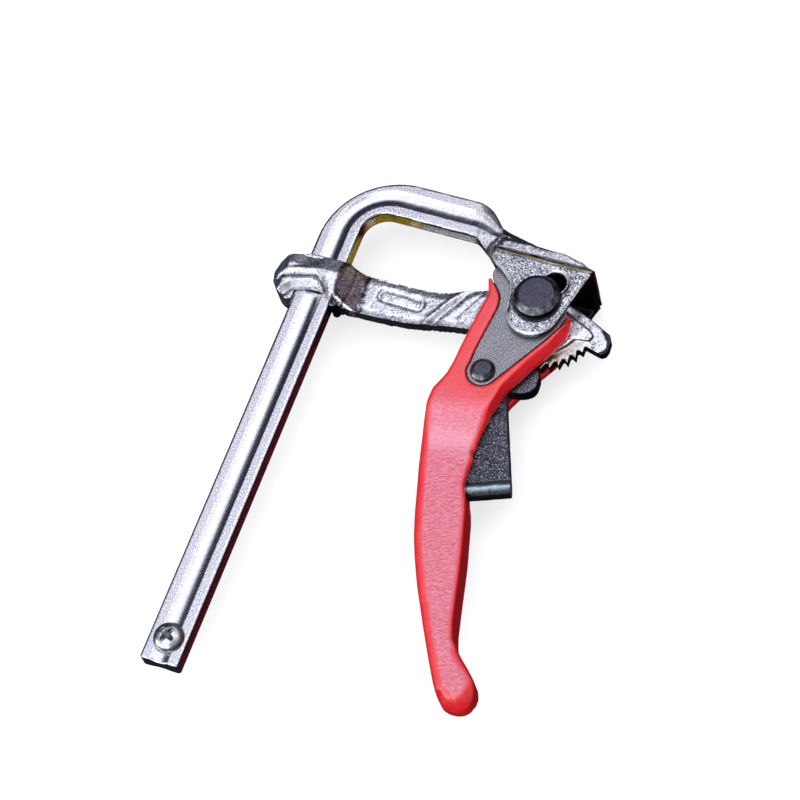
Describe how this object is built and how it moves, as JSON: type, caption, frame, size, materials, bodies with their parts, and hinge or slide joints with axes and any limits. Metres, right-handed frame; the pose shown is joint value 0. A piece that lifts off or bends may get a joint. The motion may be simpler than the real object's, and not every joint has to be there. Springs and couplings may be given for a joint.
{
  "type": "quick release bar clamp",
  "caption": "Lever bar clamp with a bent grooved rail, sliding arm, forked lever with cams, ratchet sector, folded pressure plate and release trigger.",
  "frame": {"origin": "centre of the rail's free end face", "axes": "+Y along the rail towards the fixed jaw, +X into the throat, +Z out of the rail's front wide face"},
  "size_m": [0.12, 0.1886, 0.0301],
  "materials": {
    "rail_steel": "bright zinc plated, drawn grain",
    "forged_plated": "forged, bright plated, pitted",
    "plate_steel": "satin, fine pitted",
    "cam_steel": "satin grey",
    "red_coat": "textured powder coat",
    "black_cast": "black, rough as cast",
    "black_oxide": "black oxide, satin",
    "zinc_screw": "white zinc",
    "spring_steel": "drawn wire"
  },
  "bodies": {
    "frame": {"rail": "rail_steel", "end_screw": "zinc_screw"},
    "arm": {"sliding_arm": "forged_plated", "grip_pin_inner": "black_oxide", "grip_pin_outer": "black_oxide", "pivot_pin": "black_oxide", "pivot_washer": "black_oxide"},
    "lever": {"lever_handle": "red_coat", "cam_plate_front": "cam_steel", "cam_plate_rear": "cam_steel", "link_pin": "black_oxide", "link_pin_washer": "black_oxide", "trigger_spring": "spring_steel"},
    "plate": {"pressure_plate": "plate_steel"},
    "trigger": {"pawl": "cam_steel", "release_trigger": "black_cast", "trigger_rivet": "black_oxide"}
  },
  "joints": [
    {"name": "arm_slide", "type": "slide", "parent": "frame", "child": "arm", "axis": [0, 1, 0], "range_m": [-0.12, 0]},
    {"name": "lever_swing", "type": "hinge", "parent": "arm", "child": "lever", "pos_m": [0.0772, 0.1521, 0], "axis": [0, 0, 1], "range_deg": [0, 42]},
    {"name": "plate_slide", "type": "slide", "parent": "arm", "child": "plate", "axis": [-0.473, -0.881, 0], "range_m": [0, 0.0054]},
    {"name": "trigger_squeeze", "type": "hinge", "parent": "lever", "child": "trigger", "pos_m": [0.0679, 0.1232, 0], "axis": [0, 0, -1], "range_deg": [0, 6], "stiffness_Nm_per_rad": 0.5, "springref_deg": -17.19, "deforming": ["trigger_spring"]}
  ],
  "couplings": [
    {"joint": "plate_slide", "follows": "lever_swing", "m_per_rad": 0.0071996}
  ]
}
